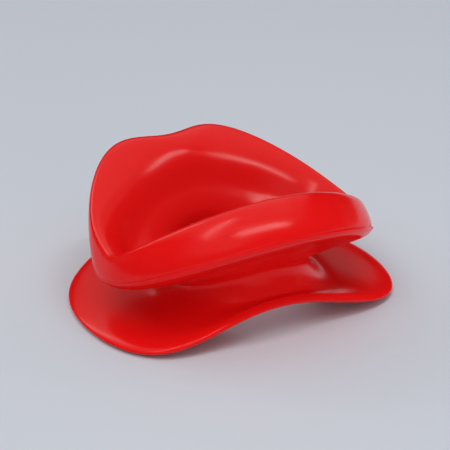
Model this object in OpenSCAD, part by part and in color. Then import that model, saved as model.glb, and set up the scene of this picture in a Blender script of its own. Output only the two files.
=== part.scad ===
// Lip-shaped mouth opener, moulded in one piece of soft silicone.
// The moulding is a spool bent round the mouth: false lips outside, a groove for the wearer's
// own lips, and a saddle-shaped flange inside. Its section changes all the way round.
// Frame: X across the mouth, +Y towards the upper lip, +Z out of the face, resting on Z = 0.
// Reaches are measured from the middle of the flange, "up" to the upper lip side and "low" to
// the lower lip side. A "y" is where a line round the mouth has its two corners.

/* [Inner flange] */
// Width across the two cheek wings
flange_w = 92; // [84:1:104]
// Reach of the flange edge behind the upper lip
flange_up = 36.3; // [33:0.2:42]
// Reach of the flange edge behind the lower lip
flange_low = 30.2; // [29:0.2:38]
// Where the flange edge has its widest points
flange_y = -1.5; // [-3:0.1:1]
// Swell of the cheek wings towards the upper side
wing_swell_up = 0.26; // [0.2:0.02:0.5]
// Swell of the cheek wings towards the lower side
wing_swell_low = 0.7; // [0.3:0.05:0.75]
// Height of the arched middle of the flange edge over the wings
flange_arch = 7.7; // [5:0.1:12]
// Thickness of the flange
flange_t = 2.8; // [2.2:0.1:3.6]
// Rounding of the flange edge
edge_r = 1.8; // [1.2:0.1:2.4]
// Depth pressed flat under each cheek wing where it rests
foot_flat = 0.3; // [0.1:0.05:0.5]

/* [Lip groove] */
// Outer width of the groove tube
groove_w = 43; // [38:0.2:48]
// Outer reach of the groove tube towards the upper lip
groove_up = 20.1; // [17:0.1:22]
// Outer reach of the groove tube towards the lower lip
groove_low = 24; // [22:0.2:25]
// Height of the groove's narrowest line at the mouth corners
groove_z = 10.1; // [9:0.1:11.5]
// Rise of the groove's narrowest line in the middle
groove_rise = 5.5; // [4:0.5:7]
// Wall of the groove tube
wall = 3; // [2.4:0.1:3.6]
// How far the fillet between tube and flange spreads at the sides
root_spread = 3.9; // [2:0.1:4.5]
// How far that fillet spreads behind the lower lip
root_spread_low = 2.2; // [1:0.1:3]
// How far that fillet spreads behind the upper lip
root_spread_up = 1; // [0:0.5:3]
// Height of that fillet over the flange
root_lift = 0.6; // [0.2:0.1:1.2]
// How much lower than the flange edge the fillet arches in the middle
root_drop = 1.9; // [0.8:0.1:2.4]

/* [False lips] */
// Width across the mouth corners
lips_w = 80.6; // [76:0.2:88]
// Reach of the upper lip's outer edge, without the Cupid's bow
upper_reach = 49.5; // [46:0.5:54]
// Reach of the lower lip's outer edge
lower_reach = 35.9; // [33:0.1:39]
// Where the mouth corners of the outer edge lie
corner_y = -1.8; // [-5:0.1:1]
// Depth of the Cupid's bow
bow_depth = 8.6; // [0:0.1:11]
// How much the lips' rim sinks in the Cupid's bow
bow_sink = 2.2; // [0:0.1:3.5]
// Half width of the Cupid's bow
bow_spread = 13.2; // [9:0.1:16]
// Height of the lower lip's crest line over the rest plane
lips_h = 39; // [37:0.5:43]
// Rise of the outer edge to the middle of the upper lip
upper_rise = 17.5; // [13:0.1:19]
// Rise of the outer edge to the middle of the lower lip
lower_rise = 16.5; // [14:0.1:18]
// Thickness of the lips from their outer edge up to the crest
lip_t = 9.3; // [8:0.2:10.4]
// How far the crest lies inside the outer edge at the mouth corners
crest_in = 1.7; // [1:0.1:4]
// How far the crest lies inside the outer edge on the upper lip
crest_in_up = 5.7; // [3.5:0.1:6.5]
// How far the crest lies inside the outer edge on the lower lip
crest_in_low = 12.2; // [9:0.1:13.5]
// Where the corners of the crest lie
crest_y = -3.7; // [-5:0.1:0]
// How much less than the outer edge the crest of the upper lip rises
crest_drop_up = 2.2; // [0:0.1:4]
// How far the lips' belly lies inside the outer edge at the mouth corners
belly_in = 0.3; // [0.2:0.1:2]
// How far the belly lies inside the outer edge on the upper lip
belly_in_up = 0.8; // [0:0.1:2]
// How far the belly lies inside the outer edge on the lower lip
belly_in_low = 4.4; // [2.5:0.1:5.5]
// How far the belly lies below the crest
belly_drop = 3.6; // [2.5:0.1:5]

/* [Underside of the lips] */
// How far the underside's line lies inside the outer edge at the mouth corners
under_in = 5; // [2:0.2:7]
// How far it lies inside the outer edge on the upper lip
under_in_up = 18; // [14:0.5:22]
// How far it lies inside the outer edge on the lower lip
under_in_low = 7.7; // [6:0.1:11]
// How far it lies below the outer edge at the mouth corners
under_drop = 2.1; // [1.3:0.1:3]
// Rise of the underside's line to the middle of the upper lip
under_rise_up = 10; // [6:0.2:11]
// Rise of the underside's line to the middle of the lower lip
under_rise_low = 12.8; // [9:0.2:14]
// How much the groove's roof is lifted at the mouth corners, which makes it flat there
roof_lift = 1.9; // [0:0.1:3]

/* [Mouth opening] */
// Width between the lips' inner edges
mouth_w = 67.2; // [64:0.1:71]
// Reach of the upper lip's inner edge
mouth_up = 29; // [24:0.1:30]
// Reach of the lower lip's inner edge
mouth_low = 19.8; // [18.4:0.1:21]
// Where the corners of the inner edge lie
mouth_y = -4.9; // [-6:0.1:-2]
// How far the inner edge lies below the crest
mouth_drop = 3.2; // [1.5:0.1:4.5]
// How much less than the outer edge the inner edge of the upper lip rises
face_slope = 5.4; // [3:0.1:8]
// Depth of the Cupid's bow at the inner edge
mouth_bow = 1.5; // [0:0.1:3]
// Width of the bowl behind the inner edge
bowl_w = 58.6; // [54:0.2:61]
// Reach of the bowl behind the upper lip
bowl_up = 22.8; // [22:0.1:26]
// Reach of the bowl behind the lower lip
bowl_low = 17; // [14:0.5:18]
// Where the bowl's corners lie
bowl_y = -1; // [-3:0.5:1]
// Height of the bowl's line over the lips' outer edge at the mouth corners
bowl_lift = 2.2; // [0:0.1:3]
// Rise of the bowl's line to the middle of the upper lip
bowl_rise_up = 8; // [4:0.2:10]
// Rise of the bowl's line to the middle of the lower lip
bowl_rise_low = 4.2; // [3.4:0.2:6]
// How far the throat's narrowest line lies above the groove's
throat_lift = 1.3; // [0.5:0.1:2]
// How far the throat flares towards its inner end
outlet_flare = 0.8; // [0.2:0.1:1.4]
// Height of the throat's inner end over the flange's underside
outlet_lift = 1.8; // [1.2:0.1:2.4]
// How much lower than the flange edge the throat's inner end arches in the middle
outlet_drop = 2.1; // [1.4:0.1:3]

/* [Quality] */
// Stations round the mouth, a multiple of 8
stations = 96; // [64:8:112]

/* [Hidden] */

lip_red = "#d9231f";
groove_red = "#c31515";
shield_red = "#cc2824";

// The tube's corners lie half way between its two reaches
tube_y = (groove_up - groove_low) / 2;
// Height of the middle of the flange's edge, so that each wing presses foot_flat into the rest plane
rim_z = flange_t / 2 - foot_flat;
// Height of the lips' outer edge at the mouth corners
corner_z = lips_h - lower_rise - lip_t;
crest_z = corner_z + lip_t;

// Share of the half width over which the upper lip's shape turns into the lower lip's
corner_ease = 0.35;
// Swell of each line's reach between the middle and the corners, on the upper and the lower side
wing_swell = [wing_swell_up, wing_swell_low];
root_swell = [0.05, 0.03];
under_swell = [-0.1, 0.2];
edge_swell = [-0.43, 0.01];
belly_swell = [-0.23, -0.08];
crest_swell = [-0.03, -0.16];
mouth_swell = [-0.1, -0.1];
bowl_swell = [-0.1, 0];
// How late each line of the flange turns up from the wings into the arched middle, and how
// early the lips do
rim_turn = 2.45;
root_turn = 1.5;
outlet_turn = 1.4;
lip_turn = 0.79;
// Where the flange gets its full thickness, as a share of the way from its edge to the tube
full_share = 0.45;
// Where the inner face of the lips turns down, as a share of the way from their edge to the bowl
face_share = 0.5;
// Where the groove's roof begins, as a share of the way from the tube to the underside's line
roof_share = 0.28;
// The edge is rounded over no more than this share of the way from the flange edge to the tube
round_share = 0.4;

// How many steps each stretch of the section gets, from the flange edge up, over the lip and back
steps = [2, 3, 4, 4, 3, 4, 4, 3, 4, 4, 3, 4, 4, 4, 3, 3, 2];
// Cage points that the surface passes through: flange edge, groove, lip edge and throat
pinned = [0, 4, 7, 13];
spans = len(steps);
function steps_before(k) = k == 0 ? 0 : steps_before(k - 1) + steps[k - 1];
count = steps_before(spans);
// Section points where one region ends and the next begins
root_out = steps_before(3);
lip_out = steps_before(5);
lip_in = steps_before(12);
root_in = steps_before(14);

// Value for the upper or the lower half of the mouth, eased across the mouth corners
function ease(t) = abs(t) > corner_ease ? sign(t) : sin(90 * t / corner_ease);
function side(a, pair) = (pair[0] + pair[1]) / 2 + (pair[0] - pair[1]) / 2 * ease(sin(a));
// The Cupid's bow: 1 on the centre line of the upper lip, fading out to both sides
function bow(a) = sin(a) > 0 ? exp(-pow(cos(a) * lips_w / 2 / bow_spread, 2)) : 0;

// One line round the mouth at angle a. reach, swell and rise hold an upper and a lower value,
// y and z are those of its corners, dip is the depth of its Cupid's bow and sink how far z drops there
function line_at(a, half_w, y, reach, swell, z, rise, turn = 1, dip = 0, sink = 0) = [
    half_w * cos(a),
    y + sin(a) * side(a, reach - [y, -y]) * (1 + side(a, swell) * pow(cos(a), 2)) - dip * bow(a),
    z + side(a, rise) * pow(abs(sin(a)), 2 * turn) - sink * bow(a)
];

function rim_line(a) = line_at(a, flange_w / 2, flange_y, [flange_up, flange_low], wing_swell,
    rim_z, [flange_arch, flange_arch], rim_turn);
function root_line(a) = line_at(a, groove_w / 2 + root_spread, tube_y,
    [groove_up + root_spread_up, groove_low + root_spread_low], root_swell,
    rim_z + flange_t / 2 + root_lift, [flange_arch - root_drop, flange_arch - root_drop], root_turn);
function groove_line(a) = line_at(a, groove_w / 2, tube_y, [groove_up, groove_low], [0, 0],
    groove_z, [groove_rise, groove_rise]);
function under_line(a) = line_at(a, lips_w / 2 - under_in, tube_y,
    [upper_reach - under_in_up, lower_reach - under_in_low], under_swell,
    corner_z - under_drop, [under_rise_up, under_rise_low], lip_turn);
function lip_edge_line(a) = line_at(a, lips_w / 2, corner_y, [upper_reach, lower_reach], edge_swell,
    corner_z, [upper_rise, lower_rise], lip_turn, bow_depth, bow_sink);
function belly_line(a) = line_at(a, lips_w / 2 - belly_in, (corner_y + crest_y) / 2,
    [upper_reach - belly_in_up, lower_reach - belly_in_low], belly_swell,
    crest_z - belly_drop, [upper_rise - crest_drop_up / 2, lower_rise], lip_turn, bow_depth, bow_sink);
function crest_line(a) = line_at(a, lips_w / 2 - crest_in, crest_y,
    [upper_reach - crest_in_up, lower_reach - crest_in_low], crest_swell,
    crest_z, [upper_rise - crest_drop_up, lower_rise], lip_turn, bow_depth, bow_sink);
function mouth_line(a) = line_at(a, mouth_w / 2, mouth_y, [mouth_up, mouth_low], mouth_swell,
    crest_z - mouth_drop, [upper_rise - face_slope, lower_rise], lip_turn, mouth_bow);
function bowl_line(a) = line_at(a, bowl_w / 2, bowl_y, [bowl_up, bowl_low], bowl_swell,
    corner_z + bowl_lift, [bowl_rise_up, bowl_rise_low]);
function throat_line(a) = line_at(a, groove_w / 2 - wall, tube_y, [groove_up - wall, groove_low - wall],
    [0, 0], groove_z + throat_lift, [groove_rise, groove_rise]);
function outlet_line(a) = line_at(a, groove_w / 2 - wall + outlet_flare, tube_y,
    [groove_up - wall + outlet_flare, groove_low - wall + outlet_flare], [0, 0],
    outlet_lift - foot_flat, [flange_arch - outlet_drop, flange_arch - outlet_drop], outlet_turn);

function blend(p, q, share) = p * (1 - share) + q * share;
function lift(p, z) = p + [0, 0, z];
// Point at distance d from p on the way to q
function towards(p, q, d) = p + (q - p) * d / norm(q - p);

// Cage of the section at angle a, from the flange edge up the outside, over the lip and back inside
function cage(a) =
    let (
        rim = rim_line(a),
        root = root_line(a),
        mouth = mouth_line(a),
        bowl = bowl_line(a),
        outlet = outlet_line(a),
        inset = towards(rim, [0, tube_y, rim.z], min(edge_r, round_share * norm(root - rim))),
        waist = groove_line(a),
        under = under_line(a),
        roof = lift(blend(waist, under, roof_share), roof_lift * pow(cos(a), 2))
    ) [
        rim,
        lift(inset, flange_t / 2),
        lift(blend(rim, root, full_share), flange_t / 2),
        root,
        waist,
        roof,
        under,
        lip_edge_line(a),
        belly_line(a),
        crest_line(a),
        mouth,
        blend(mouth, bowl, face_share),
        bowl,
        throat_line(a),
        outlet,
        lift(blend(rim, outlet, full_share), -flange_t / 2),
        lift(inset, -flange_t / 2)
    ];

// Moves a pinned cage point out so that the spline passes through the named line itself
function control(c, k) =
    let (before = c[(k + spans - 1) % spans], after = c[(k + 1) % spans])
    len(search(k, pinned)) > 0 ? (6 * c[k] - before - after) / 4 : c[k];

// Point at share u of one stretch of a uniform cubic B-spline
function spline(p, q, r, s, u) =
    (pow(1 - u, 3) * p + (3 * pow(u, 3) - 6 * pow(u, 2) + 4) * q
    + (-3 * pow(u, 3) + 3 * pow(u, 2) + 3 * u + 1) * r + pow(u, 3) * s) / 6;

// Closed section at angle a. Nothing reaches below the rest plane, which leaves the wings' flats
function section(a) =
    let (
        c = cage(a),
        p = [for (k = [0 : spans - 1]) control(c, k)]
    ) [
        for (k = [0 : spans - 1], i = [0 : steps[k] - 1])
            let (
                before = p[(k + spans - 1) % spans],
                q = spline(before, p[k], p[(k + 1) % spans], p[(k + 2) % spans], i / steps[k])
            ) [q.x, q.y, max(q.z, 0)]
    ];

loops = [for (i = [0 : stations - 1]) section(360 * i / stations)];
// The origin is under the middle of the whole moulding
loops_y = [for (loop = loops, p = loop) p.y];
middle_y = (min(loops_y) + max(loops_y)) / 2;
surface = [for (loop = loops) [for (p = loop) p - [0, middle_y, 0]]];

// Two triangles between stations i and i + 1 for the section edge from j to k. The diagonal runs
// from the lower section number, so that regions that share a face share its triangles
function quad(a, b, j, k, m, back) = back
    ? [[a * m + j, a * m + k, b * m + j], [a * m + k, b * m + k, b * m + j]]
    : [[a * m + j, a * m + k, b * m + k], [a * m + j, b * m + k, b * m + j]];

function tri(p, q, r, flip) = flip ? [p, r, q] : [p, q, r];

// Closes an open end of a region with rungs from its outer to its inner side
function rungs(base, m, flip) = [
    for (r = [0 : ceil(m / 2) - 2])
        let (p = base + r, q = p + 1, t = base + m - 1 - r, s = t - 1)
        each q < s ? [tri(p, q, s, flip), tri(p, s, t, flip)] : q == s ? [tri(p, q, t, flip)] : []
];

// Solid between two stations from a list of section points; it is a closed ring if the stations
// go all the way round
module region(first, last, points) {
    m = len(points);
    whole = last - first == stations;
    rows = whole ? stations : last - first + 1;
    verts = [for (i = [0 : rows - 1], j = points) surface[(first + i) % stations][j]];
    walls = [
        for (i = [0 : (whole ? rows - 1 : rows - 2)], j = [0 : m - 1])
            let (k = (j + 1) % m)
            each quad(i, (i + 1) % rows, j, k, m, points[j] > points[k])
    ];
    ends = whole ? [] : concat(rungs(0, m, true), rungs((rows - 1) * m, m, false));
    polyhedron(points = verts, faces = concat(walls, ends));
}

function run(from, to) = [for (j = [from : to]) j];
lip_points = run(lip_out, lip_in);
groove_points = concat(run(root_out, lip_out), run(lip_in, root_in));
shield_points = concat(run(root_in, count - 1), run(0, root_out));
eighth = stations / 8;

module upper_lip() {
    color(lip_red) region(0, 4 * eighth, lip_points);
}

module lower_lip() {
    color(lip_red) region(4 * eighth, 8 * eighth, lip_points);
}

module lip_groove() {
    color(groove_red) region(0, stations, groove_points);
}

module upper_shield() {
    color(shield_red) region(eighth, 3 * eighth, shield_points);
}

module lower_shield() {
    color(shield_red) region(5 * eighth, 7 * eighth, shield_points);
}

module left_cheek_wing() {
    color(shield_red) region(7 * eighth, 9 * eighth, shield_points);
}

module right_cheek_wing() {
    color(shield_red) region(3 * eighth, 5 * eighth, shield_points);
}

upper_lip();
lower_lip();
lip_groove();
upper_shield();
lower_shield();
left_cheek_wing();
right_cheek_wing();
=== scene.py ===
import bpy
import numpy as np
from mathutils import Matrix, Vector
from mathutils.bvhtree import BVHTree


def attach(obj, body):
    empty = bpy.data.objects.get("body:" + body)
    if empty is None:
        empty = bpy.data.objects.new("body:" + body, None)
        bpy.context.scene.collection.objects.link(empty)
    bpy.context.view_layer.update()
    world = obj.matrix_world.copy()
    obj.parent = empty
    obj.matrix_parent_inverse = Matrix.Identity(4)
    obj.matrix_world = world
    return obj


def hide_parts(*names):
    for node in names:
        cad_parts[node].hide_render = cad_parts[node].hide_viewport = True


# Lip-shaped mouth opener in glossy red silicone, standing on its flange's two wings on a pale floor.
# One moulding: false lips, lip groove and saddle flange are regions of a single lofted skin.
# The moulding's sizes are in millimetres, as in the CAD, and become metres when a mesh is made.
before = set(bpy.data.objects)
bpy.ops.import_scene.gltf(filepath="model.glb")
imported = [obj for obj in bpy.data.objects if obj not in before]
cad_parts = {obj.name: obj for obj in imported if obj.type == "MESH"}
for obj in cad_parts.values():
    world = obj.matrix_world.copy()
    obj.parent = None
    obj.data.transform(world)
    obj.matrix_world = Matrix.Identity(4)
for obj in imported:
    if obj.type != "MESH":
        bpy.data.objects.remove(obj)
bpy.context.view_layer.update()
mm = 0.001
print("frame loaded:", len(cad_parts), "CAD nodes")

photoSize = (450, 450)
photoPoints = {  # places in the photograph
    "leftEdge": (69.8, 292.0), "rightEdge": (392.5, 287.8), "topEdge": (207.0, 123.0),
    "bottomEdge": (154.5, 352.2), "lipLeft": (88.5, 216.0), "lipLow": (137.0, 288.5),
    "leftPeak": (112.5, 146.8), "bowDip": (163.0, 134.5), "mouthCorner": (126.5, 254.0),
    "partingNub": (371.5, 227.3),
}
cameraLook = {
    "azimuth": -28.23, "elevation": 25.02,  # degrees; azimuth 0 looks along +Y
    "distance": 493.9, "aim": (-0.63, -2.11, 19.78),
    "lens": 141.25, "sensor": 36.0, "shift": (0.0, 0.0),
    "clip": (0.01, 20.0),  # metres
}
missSearch = {"start": 0.3, "end": 0.7, "steps": 400}  # metres along a sight line that meets nothing


def makeCamera(look):  # on a sphere about the aim, looking at it
    turn, rise = np.radians(look["azimuth"]), np.radians(look["elevation"])
    back = Vector((np.sin(turn) * np.cos(rise), -np.cos(turn) * np.cos(rise), np.sin(rise)))
    data = bpy.data.cameras.new("photoCamera")
    data.lens, data.sensor_width, data.sensor_fit = look["lens"], look["sensor"], "AUTO"
    data.shift_x, data.shift_y = look["shift"]
    data.clip_start, data.clip_end = look["clip"]
    camera = bpy.data.objects.new("photoCamera", data)
    bpy.context.scene.collection.objects.link(camera)
    place = (Vector(look["aim"]) + back * look["distance"]) * mm
    camera.matrix_world = Matrix.Translation(place) @ back.to_track_quat("Z", "Y").to_matrix().to_4x4()
    bpy.context.scene.camera = camera
    return camera


def rayThrough(camera, point):  # origin and direction of the sight line through an image point
    width, height = photoSize
    longSide, data = max(photoSize), camera.data
    sight = Vector((point[0] - width / 2 + data.shift_x * longSide,
                    height / 2 - point[1] + data.shift_y * longSide,
                    -longSide * data.lens / data.sensor_width))
    return camera.matrix_world.translation, (camera.matrix_world.to_3x3() @ sight).normalized()


def placeOn(camera, tree, point):  # where the sight line meets the surface
    origin, direction = rayThrough(camera, point)
    place = tree.ray_cast(origin, direction)[0]
    if place is None:  # past the outline: the place nearest the ray
        reaches = np.linspace(missSearch["start"], missSearch["end"], missSearch["steps"])
        near = (tree.find_nearest(origin + direction * reach) for reach in reaches)
        place = min(near, key=lambda hit: hit[3])[0]
    return np.array(place)


def imageOf(camera, places):  # image x, y of places given in metres
    inside = np.array(camera.matrix_world.inverted())
    local = places @ inside[:3, :3].T + inside[:3, 3]
    width, height = photoSize
    longSide, data = max(photoSize), camera.data
    scale = longSide * data.lens / data.sensor_width / -local[:, 2]
    return np.stack([width / 2 - data.shift_x * longSide + local[:, 0] * scale,
                     height / 2 + data.shift_y * longSide - local[:, 1] * scale], axis=-1)


camera = makeCamera(cameraLook)
print("camera set")

loft = {
    "stations": 480,
    # the lines that the section is drawn through, from the flange's edge up, over and back down
    "lines": ("rim", "rimTop", "flangeTop", "root", "waist", "roof", "under", "edge", "belly", "crest",
              "mouth", "face", "bowl", "throat", "outlet", "flangeBottom", "rimBottom"),
    # samples from each line to the next, denser at the parting line on the lips' edge
    "samples": (8, 10, 12, 12, 12, 14, 30, 60, 12, 14, 12, 12, 12, 12, 12, 10, 8),
    "pinned": ("rim", "waist", "edge", "throat"),  # lines that the skin passes through
    "cornerEase": 0.35,  # share of the half width where upper turns into lower lip
}
flange = {
    "width": 92.0, "reach": (36.3, 30.2), "swell": (0.26, 0.7), "cornerY": -1.5, "arch": 7.7,
    "thickness": 2.8, "footFlat": 0.3, "edgeRound": 1.8, "roundShare": 0.4, "turn": 2.45, "fullShare": 0.45,
}
groove = {
    "width": 43.0, "reach": (20.1, 24.0), "height": 10.1, "rise": 5.5, "wall": 3.0,
    "rootSide": 3.9, "rootSpread": (1.0, 2.2), "rootSwell": (0.05, 0.03), "rootLift": 0.6, "rootDrop": 1.9,
    "rootTurn": 1.5, "roofShare": 0.28, "roofLift": 1.9,
    "throatLift": 1.3, "outletFlare": 0.8, "outletLift": 1.8, "outletDrop": 2.1, "outletTurn": 1.4,
}
lips = {
    "width": 80.6, "reach": (49.5, 35.9), "swell": (-0.43, 0.01), "cornerY": -1.8, "height": 39.0,
    "rise": (17.5, 16.5), "turn": 0.79, "bowDepth": 8.6, "bowSink": 2.2, "bowSpread": 13.2, "thickness": 9.3,
    "crestIn": 1.7, "crestReachIn": (5.7, 12.2), "crestSwell": (-0.03, -0.16),
    "crestY": -3.7, "crestDrop": 2.2,
    "bellyIn": 0.3, "bellyReachIn": (0.8, 4.4), "bellySwell": (-0.23, -0.08), "bellyDrop": 3.6,
    "underIn": 5.0, "underReachIn": (18.0, 7.7), "underSwell": (-0.1, 0.2), "underDrop": 2.1,
    "underRise": (10.0, 12.8),
}
opening = {
    "width": 67.2, "reach": (29.0, 19.8), "swell": (-0.1, -0.1), "cornerY": -4.9, "drop": 3.2,
    "faceSlope": 5.4, "bowDepth": 1.5, "faceShare": 0.5,
    "edgeRoll": 0.4,  # how far the skin eases the mouth's edge, as the soft moulding does
    "bowlWidth": 58.6, "bowlReach": (22.8, 17.0), "bowlSwell": (-0.1, 0.0), "bowlY": -1.0, "bowlLift": 2.2,
    "bowlRise": (8.0, 4.2),
}
partingLine = {
    "above": 0.8,  # how far over the lips' widest line it runs
    "ridge": 0.2, "ridgeWidth": 0.22, "crease": 0.3, "creaseWidth": 0.26, "step": 0.12, "stepWidth": 1.6,
    "fullFrom": 0.55, "middle": 0.2, "otherEnd": 0.4,  # weaker in the middle and at the wearer's right
    "nub": 0.35, "nubWidth": 0.8,  # the small swelling at the end of the lower lip
}

angle = np.arange(loft["stations"]) * 2 * np.pi / loft["stations"]
cosA, sinA = np.cos(angle), np.sin(angle)
tubeY = (groove["reach"][0] - groove["reach"][1]) / 2
rimZ = flange["thickness"] / 2 - flange["footFlat"]
crestZ = lips["height"] - lips["rise"][1]
cornerZ = crestZ - lips["thickness"]


def sideOf(pair):  # upper value above, lower value below, eased by a sine across the mouth corners
    ease = np.sin(np.pi / 2 * np.clip(sinA / loft["cornerEase"], -1, 1))
    return (pair[0] + pair[1]) / 2 + (pair[0] - pair[1]) / 2 * ease


def lineRound(halfWidth, y, reach, swell, z, rise, turn=1, bowed=(0, 0)):
    # x = half width times cosine; y goes from the corner's y to the reach by the sine, swollen by the
    # cosine squared; z = corner's z plus rise times sine to the power 2 turn; y and z less a Gaussian at
    # the Cupid's bow
    bow = np.where(sinA > 0, np.exp(-(cosA * lips["width"] / 2 / lips["bowSpread"]) ** 2), 0)
    along = sinA * sideOf((reach[0] - y, reach[1] + y)) * (1 + sideOf(swell) * cosA ** 2)
    up = sideOf(rise) * np.abs(sinA) ** (2 * turn)
    return np.stack([halfWidth * cosA, y + along - bowed[0] * bow, z + up - bowed[1] * bow], -1)


def plus(pair, by):
    return (pair[0] + by[0], pair[1] + by[1])


def minus(pair, by):
    return (pair[0] - by[0], pair[1] - by[1])


def cageLines():
    # Eleven lines go round the mouth, and six come from them. The rim's top and bottom lie half a thickness
    # over and under a line set in from the rim by the rounding. The flange's top and bottom, the roof and
    # the face mix their neighbours by a share, and the roof is lifted by the cosine squared. The mouth's
    # edge then moves part of the way to the middle of crest and face.
    arch, turn, bow = (flange["arch"],) * 2, lips["turn"], (lips["bowDepth"], lips["bowSink"])
    wall, flare = (groove["wall"],) * 2, (groove["outletFlare"],) * 2
    rim = lineRound(flange["width"] / 2, flange["cornerY"], flange["reach"], flange["swell"],
                    rimZ, arch, flange["turn"])
    root = lineRound(groove["width"] / 2 + groove["rootSide"], tubeY,
                     plus(groove["reach"], groove["rootSpread"]), groove["rootSwell"],
                     rimZ + flange["thickness"] / 2 + groove["rootLift"],
                     minus(arch, (groove["rootDrop"],) * 2), groove["rootTurn"])
    grooveRise = (groove["rise"],) * 2
    waist = lineRound(groove["width"] / 2, tubeY, groove["reach"], (0, 0), groove["height"], grooveRise)
    under = lineRound(lips["width"] / 2 - lips["underIn"], tubeY, minus(lips["reach"], lips["underReachIn"]),
                      lips["underSwell"], cornerZ - lips["underDrop"], lips["underRise"], turn)
    edge = lineRound(lips["width"] / 2, lips["cornerY"], lips["reach"], lips["swell"],
                     cornerZ, lips["rise"], turn, bow)
    belly = lineRound(lips["width"] / 2 - lips["bellyIn"], (lips["cornerY"] + lips["crestY"]) / 2,
                      minus(lips["reach"], lips["bellyReachIn"]), lips["bellySwell"],
                      crestZ - lips["bellyDrop"], minus(lips["rise"], (lips["crestDrop"] / 2, 0)), turn, bow)
    crest = lineRound(lips["width"] / 2 - lips["crestIn"], lips["crestY"],
                      minus(lips["reach"], lips["crestReachIn"]), lips["crestSwell"],
                      crestZ, minus(lips["rise"], (lips["crestDrop"], 0)), turn, bow)
    mouth = lineRound(opening["width"] / 2, opening["cornerY"], opening["reach"], opening["swell"],
                      crestZ - opening["drop"], minus(lips["rise"], (opening["faceSlope"], 0)), turn,
                      (opening["bowDepth"], 0))
    bowl = lineRound(opening["bowlWidth"] / 2, opening["bowlY"], opening["bowlReach"], opening["bowlSwell"],
                     cornerZ + opening["bowlLift"], opening["bowlRise"])
    throat = lineRound(groove["width"] / 2 - wall[0], tubeY, minus(groove["reach"], wall), (0, 0),
                       groove["height"] + groove["throatLift"], grooveRise)
    outlet = lineRound(groove["width"] / 2 - wall[0] + flare[0], tubeY,
                       plus(minus(groove["reach"], wall), flare), (0, 0),
                       groove["outletLift"] - flange["footFlat"],
                       minus(arch, (groove["outletDrop"],) * 2), groove["outletTurn"])
    inward = np.stack([0 * cosA, tubeY + 0 * cosA, rim[:, 2]], -1) - rim
    rounding = np.minimum(flange["edgeRound"],
                          flange["roundShare"] * np.linalg.norm(root - rim, axis=-1, keepdims=True))
    inset = rim + inward * rounding / np.linalg.norm(inward, axis=-1, keepdims=True)
    roof = waist + (under - waist) * groove["roofShare"]
    roof[:, 2] += groove["roofLift"] * cosA ** 2
    half = np.array((0, 0, flange["thickness"] / 2))
    share = flange["fullShare"]
    flangeTop = rim * (1 - share) + root * share + half
    flangeBottom = rim * (1 - share) + outlet * share - half
    face = mouth * (1 - opening["faceShare"]) + bowl * opening["faceShare"]
    mouth = mouth + opening["edgeRoll"] * ((crest + face) / 2 - mouth)
    return np.array([rim, inset + half, flangeTop, root, waist, roof, under, edge, belly, crest,
                     mouth, face, bowl, throat, outlet, flangeBottom, inset - half])


def sampleShares(line, count):  # even from a line to the next, but crowded by a square at the lips' edge
    share = np.arange(count) / count
    if line == "under":
        return 1 - (1 - share) ** 2
    return share ** 2 if line == "edge" else share


def loftSkin():
    # a closed uniform cubic B-spline over the cage at every station, kept over the floor, centred in y
    cage = cageLines()
    before, after = np.roll(cage, 1, 0), np.roll(cage, -1, 0)
    pinned = np.isin(loft["lines"], loft["pinned"])[:, None, None]
    control = np.where(pinned, (6 * cage - before - after) / 4, cage)
    rows = []
    for k, (line, count) in enumerate(zip(loft["lines"], loft["samples"])):
        p, q, r, s = (control[(k + step) % len(cage)] for step in (-1, 0, 1, 2))
        u = sampleShares(line, count)[:, None, None]
        rows.append(((1 - u) ** 3 * p + (3 * u ** 3 - 6 * u ** 2 + 4) * q
                     + (-3 * u ** 3 + 3 * u ** 2 + 3 * u + 1) * r + u ** 3 * s) / 6)
    skin = np.concatenate(rows).transpose(1, 0, 2)  # station, section point, xyz
    skin[..., 2] = np.maximum(skin[..., 2], 0)
    skin[..., 1] -= (skin[..., 1].min() + skin[..., 1].max()) / 2
    return skin


def normalsOf(skin):  # cross product of the central differences round the mouth and along the section
    around = np.roll(skin, -1, 0) - np.roll(skin, 1, 0)
    along = np.roll(skin, -1, 1) - np.roll(skin, 1, 1)
    normal = np.cross(around, along)
    return normal / np.linalg.norm(normal, axis=-1, keepdims=True)


def gridQuads(bands, rows, columns):  # quads from each row to the next, closed along the columns
    i, j = np.arange(bands)[:, None], np.arange(columns)[None, :]
    near, far, after = i * columns, (i + 1) % rows * columns, (j + 1) % columns
    return np.stack([near + j, far + j, far + after, near + after], -1).reshape(-1, 4).tolist()


def skinTree(skin):  # the closed skin, for sight lines to meet
    rows, columns = skin.shape[:2]
    return BVHTree.FromPolygons((skin.reshape(-1, 3) * mm).tolist(), gridQuads(rows, rows, columns))


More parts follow.
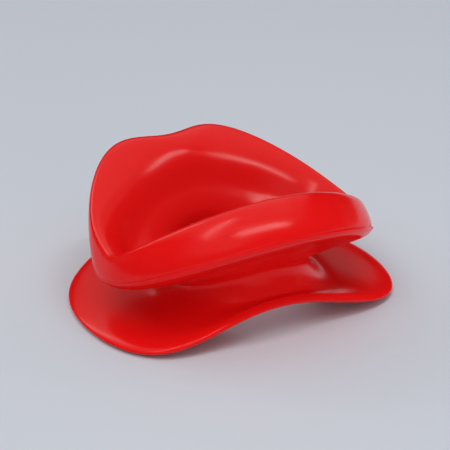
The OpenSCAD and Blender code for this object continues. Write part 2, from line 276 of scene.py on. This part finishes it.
def addPartingLine(skin, look):
    # over is the distance up the lips' face from the parting line, along the section. The skin rises along
    # its normal by a Gaussian ridge, less a Gaussian crease just over it, plus a step that fades under it,
    # all three weaker in the middle and at one end, and by a Gaussian nub about one place
    travel = np.cumsum(np.linalg.norm(skin - np.roll(skin, 1, 1), axis=-1), 1)
    over = travel - travel[:, mark["edge"]][:, None] - look["above"]
    aside = np.clip(np.abs(cosA) / look["fullFrom"], 0, 1)
    full = np.where(cosA > 0, 1, look["otherEnd"])
    amount = look["middle"] + (full - look["middle"]) * aside ** 2 * (3 - 2 * aside)
    ridge = look["ridge"] * np.exp(-(over / look["ridgeWidth"]) ** 2)
    crease = look["crease"] * np.exp(-((over - look["ridgeWidth"] - look["creaseWidth"])
                                       / look["creaseWidth"]) ** 2)
    under = np.maximum(-over, 0)
    step = (look["step"] * np.exp(-(under / look["stepWidth"]) ** 2)
            * (1 - np.exp(-(under / look["ridgeWidth"]) ** 2)))
    height = (ridge - crease + step) * amount[:, None]
    nubPlace = placeOn(camera, skinTree(skin), photoPoints["partingNub"]) / mm
    height += look["nub"] * np.exp(-(np.linalg.norm(skin - nubPlace, axis=-1) / look["nubWidth"]) ** 2)
    return skin + normalsOf(skin) * height[..., None]


# section point at which each line lies
mark = dict(zip(loft["lines"], np.cumsum((0,) + loft["samples"]).tolist()))
skin = addPartingLine(loftSkin(), partingLine)
skinNormal = normalsOf(skin)
print("skin lofted:", skin.shape[0], "stations of", skin.shape[1], "points")

eighth = loft["stations"] // 8
lipRun = np.arange(mark["roof"], mark["bowl"] + 1)
grooveRun = np.concatenate([np.arange(mark["root"], mark["roof"] + 1),
                            np.arange(mark["bowl"], mark["outlet"] + 1)])
shieldRun = np.concatenate([np.arange(mark["outlet"], skin.shape[1]),
                            np.arange(mark["rim"], mark["root"] + 1)])
regions = {  # CAD node: first and last station, section points
    "upper_lip": (0, 4 * eighth, lipRun),
    "lower_lip": (4 * eighth, 8 * eighth, lipRun),
    "lip_groove": (0, 8 * eighth, grooveRun),
    "upper_shield": (eighth, 3 * eighth, shieldRun),
    "lower_shield": (5 * eighth, 7 * eighth, shieldRun),
    "left_cheek_wing": (7 * eighth, 9 * eighth, shieldRun),
    "right_cheek_wing": (3 * eighth, 5 * eighth, shieldRun),
}


def linkMesh(name, points, faces, normals):  # an object at the origin, shaded by the skin's own normals
    mesh = bpy.data.meshes.new(name)
    mesh.from_pydata((points * mm).tolist(), [], faces)
    mesh.validate()
    mesh.polygons.foreach_set("use_smooth", np.ones(len(mesh.polygons), bool))
    mesh.normals_split_custom_set_from_vertices(normals.tolist())
    mesh.update()
    piece = bpy.data.objects.new(name, mesh)
    bpy.context.scene.collection.objects.link(piece)
    return piece


def regionPiece(node, first, last, run):
    # the region's part of the skin, closed along the cut across the material and, unless it runs all
    # round the mouth, by one face at each end
    whole = last - first == loft["stations"]
    stations = np.arange(first, last if whole else last + 1) % loft["stations"]
    rows, columns = len(stations), len(run)
    faces = gridQuads(rows if whole else rows - 1, rows, columns)
    if not whole:
        faces += [list(range(columns))[::-1], list(range((rows - 1) * columns, rows * columns))]
    points = skin[stations][:, run].reshape(-1, 3)
    normals = skinNormal[stations][:, run].reshape(-1, 3)
    words = node.split("_")
    name = words[0] + "".join(word.title() for word in words[1:]) + "Skin"
    return linkMesh(name, points, faces, normals)


silicone = {
    "colour": (0.79, 0.0065, 0.0055, 1), "deepColour": (0.75, 0.004, 0.0055, 1),
    "roughness": (0.16, 0.21), "smearRange": (0.3, 0.7), "ior": 1.42, "specularLevel": 0.28,
    # noises: scale per metre and detail
    "cloud": (38.0, 3.0), "smear": (90.0, 4.0), "wave": (60.0, 1.0), "grain": (2500.0, 2.0),
    "waveBump": (0.05, 0.002), "grainBump": (0.03, 0.0002),  # strength, and depth in metres
}


def addNode(tree, kind, inputs=None, **settings):
    node = tree.nodes.new(kind)
    for key, value in settings.items():
        setattr(node, key, value)
    for key, value in (inputs or {}).items():
        if isinstance(value, bpy.types.NodeSocket):
            tree.links.new(value, node.inputs[key])
        else:
            node.inputs[key].default_value = value
    return node


def addNoise(tree, place, pattern):  # its value
    return addNode(tree, "ShaderNodeTexNoise", {
        "Vector": place, "Scale": pattern[0], "Detail": pattern[1]}).outputs[0]


def siliconeMaterial(look):  # slow clouds of a deeper red, smeared gloss, a faint swell and a fine grain
    material = bpy.data.materials.new("redSilicone")
    material.use_nodes = True
    tree = material.node_tree
    tree.nodes.clear()
    place = addNode(tree, "ShaderNodeTexCoord").outputs["Object"]
    tone = addNode(tree, "ShaderNodeMix", {  # 0 is its factor, 6 and 7 its two colours, output 2 the mix
        0: addNoise(tree, place, look["cloud"]), 6: look["colour"], 7: look["deepColour"]}, data_type="RGBA")
    rough = addNode(tree, "ShaderNodeMapRange", {
        "Value": addNoise(tree, place, look["smear"]),
        "From Min": look["smearRange"][0], "From Max": look["smearRange"][1],
        "To Min": look["roughness"][0], "To Max": look["roughness"][1]})
    waveBump = addNode(tree, "ShaderNodeBump", {
        "Height": addNoise(tree, place, look["wave"]),
        "Strength": look["waveBump"][0], "Distance": look["waveBump"][1]})
    grainBump = addNode(tree, "ShaderNodeBump", {
        "Height": addNoise(tree, place, look["grain"]), "Normal": waveBump.outputs[0],
        "Strength": look["grainBump"][0], "Distance": look["grainBump"][1]})
    shader = addNode(tree, "ShaderNodeBsdfPrincipled", {
        "Base Color": tone.outputs[2], "Roughness": rough.outputs[0], "IOR": look["ior"],
        "Specular IOR Level": look["specularLevel"], "Normal": grainBump.outputs[0]})
    output = addNode(tree, "ShaderNodeOutputMaterial")
    tree.links.new(shader.outputs[0], output.inputs[0])
    return material


redSilicone = siliconeMaterial(silicone)
for node, (first, last, run) in regions.items():
    piece = regionPiece(node, first, last, run)
    piece.data.materials.append(redSilicone)
    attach(piece, "root")
    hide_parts(node)
print("moulding made:", len(regions), "regions")

studio = {
    "floorColour": (0.595, 0.63, 0.70, 1), "floorRoughness": 0.6, "floorSpecular": 0.2, "floorSize": 6.0,
    "sky": (0.94, 0.97, 1.0, 1), "skyStrength": (0.29, 0.50),  # at the horizon, overhead
    "lampColour": (1.0, 0.98, 0.94),
}
# lamps are rectangles: two ends in metres, width in metres, power in watts
strips = {  # light the object and show in its gloss
    "overheadStrip": {"ends": ((-0.17, -0.17, 0.92), (0.42, -0.16, 0.84)), "width": 0.07, "power": 1.55},
    "cornerStrip": {"ends": ((-0.05, 0.62, 0.70), (-0.38, 0.74, 0.44)), "width": 0.15, "power": 0.5},
}
sheens = {  # show in the gloss only
    "lipStrip": {"ends": ((-0.42, -0.01, 0.84), (-0.04, 0.16, 0.92)), "width": 0.045, "power": 0.6},
    "softPanel": {"ends": ((-0.42, 0.44, 0.83), (0.60, 0.44, 0.80)), "width": 0.90, "power": 1.3},
    "widePanel": {"ends": ((-0.60, 0.46, 0.80), (0.86, 0.46, 0.76)), "width": 1.25, "power": 2.4},
}
fills = {  # brighten the shade and show in no gloss
    "leftFill": {"ends": ((-0.58, 0.00, 0.80), (-0.28, -0.50, 0.80)), "width": 0.50, "power": 2.5},
    "frontFill": {"ends": ((-0.35, -1.00, 0.12), (0.40, -1.00, 0.12)), "width": 0.20, "power": 2.9},
    "rightFill": {"ends": ((0.95, -0.25, 0.16), (0.95, 0.45, 0.16)), "width": 0.25, "power": 2.4},
    "farFill": {"ends": ((-0.94, 0.44, 0.22), (-0.44, 0.94, 0.22)), "width": 0.40, "power": 1.8},
}


def makeFloor(look):
    half = look["floorSize"] / 2
    corners = [(-half, -half, 0), (half, -half, 0), (half, half, 0), (-half, half, 0)]
    mesh = bpy.data.meshes.new("floor")
    mesh.from_pydata(corners, [], [(0, 1, 2, 3)])
    floor = bpy.data.objects.new("floor", mesh)
    bpy.context.scene.collection.objects.link(floor)
    material = bpy.data.materials.new("floorPaper")
    material.use_nodes = True
    shader = material.node_tree.nodes["Principled BSDF"]
    shader.inputs["Base Color"].default_value = look["floorColour"]
    shader.inputs["Roughness"].default_value = look["floorRoughness"]
    shader.inputs["Specular IOR Level"].default_value = look["floorSpecular"]
    mesh.materials.append(material)


def makeLamp(name, look, glossy, diffuse):  # from end to end, facing the object
    ends = [Vector(end) for end in look["ends"]]
    data = bpy.data.lights.new(name, "AREA")
    data.shape, data.energy, data.color = "RECTANGLE", look["power"], studio["lampColour"]
    data.size, data.size_y = (ends[1] - ends[0]).length, look["width"]
    lamp = bpy.data.objects.new(name, data)
    bpy.context.scene.collection.objects.link(lamp)
    middle = (ends[0] + ends[1]) / 2
    along = (ends[1] - ends[0]).normalized()
    back = (middle - along * middle.dot(along)).normalized()
    axes = Matrix((along, back.cross(along), back)).transposed().to_4x4()
    lamp.matrix_world = Matrix.Translation(middle) @ axes
    lamp.visible_glossy, lamp.visible_diffuse = glossy, diffuse


def makeSky(look):  # its strength grows evenly with the height of the direction; it shows in no gloss
    world = bpy.data.worlds.new("studioSky")
    world.use_nodes = True
    tree = world.node_tree
    sight = addNode(tree, "ShaderNodeTexCoord").outputs["Generated"]
    height = addNode(tree, "ShaderNodeSeparateXYZ", {"Vector": sight}).outputs["Z"]
    strength = addNode(tree, "ShaderNodeMapRange", {
        "Value": height, "To Min": look["skyStrength"][0], "To Max": look["skyStrength"][1]})
    background = tree.nodes["Background"]
    background.inputs["Color"].default_value = look["sky"]
    tree.links.new(strength.outputs[0], background.inputs["Strength"])
    world.cycles_visibility.glossy = False
    bpy.context.scene.world = world


makeFloor(studio)
for group, glossy, diffuse in ((strips, True, True), (sheens, True, False), (fills, False, True)):
    for name, look in group.items():
        makeLamp(name, look, glossy, diffuse)
makeSky(studio)
bpy.context.scene.view_settings.view_transform = "Standard"
print("floor and lamps set")


def farFromChord(outline, start, end, side):  # outline point furthest above (1) or below (-1) a chord
    between = outline[(outline[:, 0] > start[0]) & (outline[:, 0] < end[0])]
    run = end - start
    above = (between[:, 0] - start[0]) * run[1] - (between[:, 1] - start[1]) * run[0]
    return between[(above * side).argmax()]


def checkPoints():  # where each thing shows in the image
    seen = imageOf(camera, skin.reshape(-1, 3) * mm)
    lip = imageOf(camera, skin[:, lipRun].reshape(-1, 3) * mm)
    column = np.round(lip[:, 0])
    brow = np.array([(x, lip[column == x, 1].min()) for x in np.unique(column)])  # the lips' upper outline
    top, lipLeft = seen[seen[:, 1].argmin()], lip[lip[:, 0].argmin()]
    peak = farFromChord(brow, lipLeft, top, 1)
    shows = {
        "leftEdge": seen[seen[:, 0].argmin()], "rightEdge": seen[seen[:, 0].argmax()],
        "topEdge": top, "bottomEdge": seen[seen[:, 1].argmax()],
        "lipLeft": lipLeft, "lipLow": lip[lip[:, 1].argmax()],
        "leftPeak": peak, "bowDip": farFromChord(brow, peak, top, -1),
        "mouthCorner": imageOf(camera, skin[loft["stations"] // 2, mark["mouth"]][None] * mm)[0],
        "partingNub": lip[lip[:, 0].argmax()],
    }


checkPoints()
